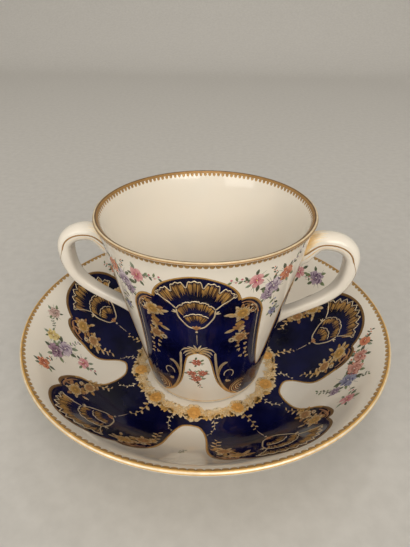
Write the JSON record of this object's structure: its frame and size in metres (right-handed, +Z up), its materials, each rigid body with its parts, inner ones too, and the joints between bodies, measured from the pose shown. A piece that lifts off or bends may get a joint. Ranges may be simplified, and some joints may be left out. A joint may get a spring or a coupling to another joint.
{
  "type": "chocolate cup and saucer",
  "caption": "Conical porcelain chocolate cup with ear-shaped strap handles, standing loose in the well of a deep round saucer on a foot ring.",
  "frame": {"origin": "on the common axis of cup and saucer, on the surface the saucer stands on", "axes": "+Z up along the axis the cup lifts along; the handles lie along X; -Y is the front"},
  "size_m": [0.154, 0.154, 0.0857],
  "materials": {
    "saucer_porcelain": "glossy white glaze with cobalt reserves and gilding",
    "cup_porcelain": "glossy white glaze with cobalt reserves and gilding",
    "handle_porcelain": "glossy white glaze with gilt lines",
    "cobalt_ground": "dark underglaze blue, glossy",
    "gilding": "burnished fired gold",
    "flower_enamel": "fired overglaze enamel colours"
  },
  "bodies": {
    "saucer": {"saucer": "saucer_porcelain"},
    "cup": {"cup_body": "cup_porcelain", "left_handle": "handle_porcelain", "right_handle": "handle_porcelain"}
  },
  "joints": [
    {"name": "cup_lift", "type": "slide", "parent": "saucer", "child": "cup", "axis": [0, 0, 1], "range_m": [0, 0.06]}
  ]
}
